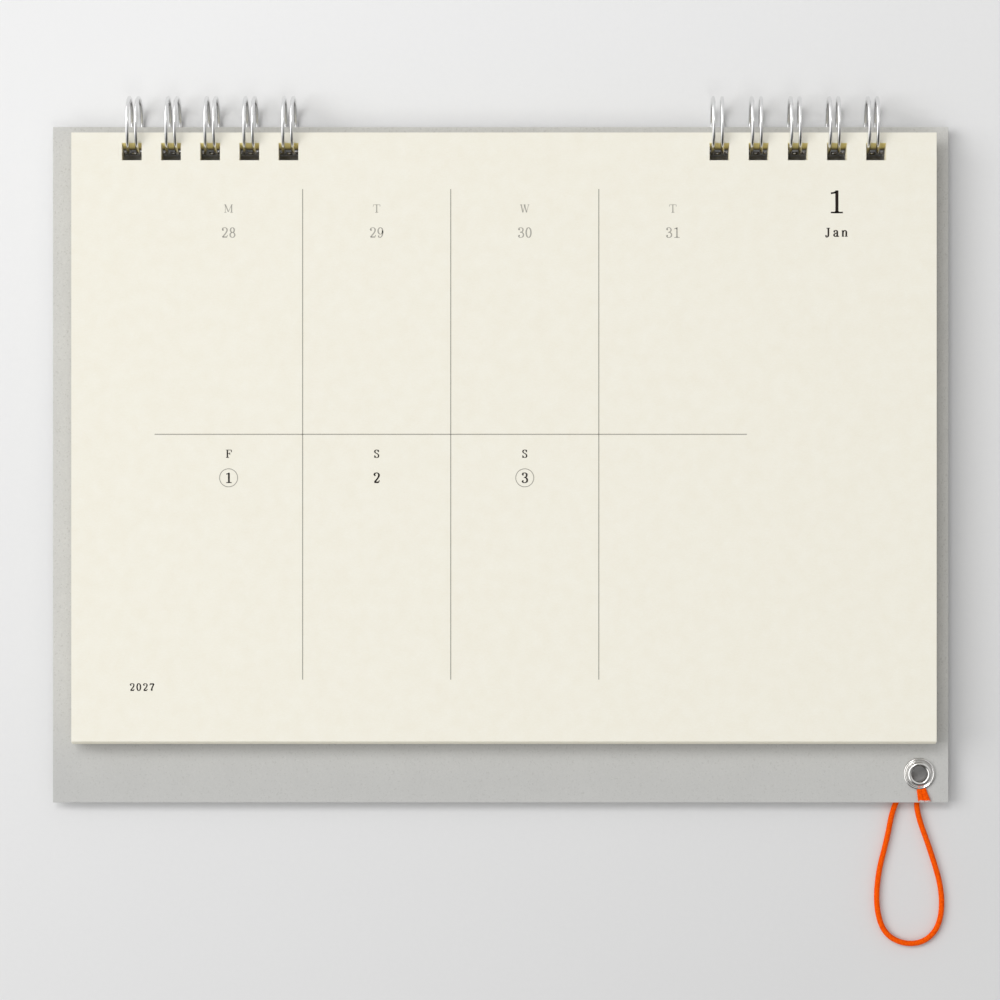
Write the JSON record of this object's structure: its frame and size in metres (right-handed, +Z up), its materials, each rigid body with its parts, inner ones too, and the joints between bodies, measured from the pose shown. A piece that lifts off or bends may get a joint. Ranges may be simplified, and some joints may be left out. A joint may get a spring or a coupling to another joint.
{
  "type": "wall calendar",
  "caption": "Week-per-sheet wall calendar: a pad of cream sheets and a grey board on twin-loop wire combs that also hang it, with an elastic pen loop at the corner.",
  "frame": {"origin": "on the axis of the wire rings, midway between the two wire combs, where the wall pins or rail pass", "axes": "+X along the binding to the reader's right, +Y into the wall, +Z up"},
  "size_m": [0.195, 0.0128, 0.1851],
  "materials": {
    "cream_paper": "uncoated cream book paper",
    "grey_ink": "dark grey offset ink",
    "grey_board": "raw grey chipboard",
    "binding_wire": "bright silver wire",
    "nickel_plate": "polished nickel plate",
    "orange_elastic": "braided round elastic"
  },
  "bodies": {
    "board": {"back_board": "grey_board", "wire_comb_left": "binding_wire", "wire_comb_right": "binding_wire", "eyelet": "nickel_plate", "eyelet_washer": "nickel_plate", "elastic_loop": "orange_elastic", "elastic_ends": "orange_elastic"},
    "pages": {"page_block": "cream_paper", "page_print": "grey_ink"}
  },
  "joints": [
    {"name": "page_turn", "type": "hinge", "parent": "board", "child": "pages", "pos_m": [0, 0, 0], "axis": [-1, 0, 0], "range_deg": [0, 180]}
  ]
}
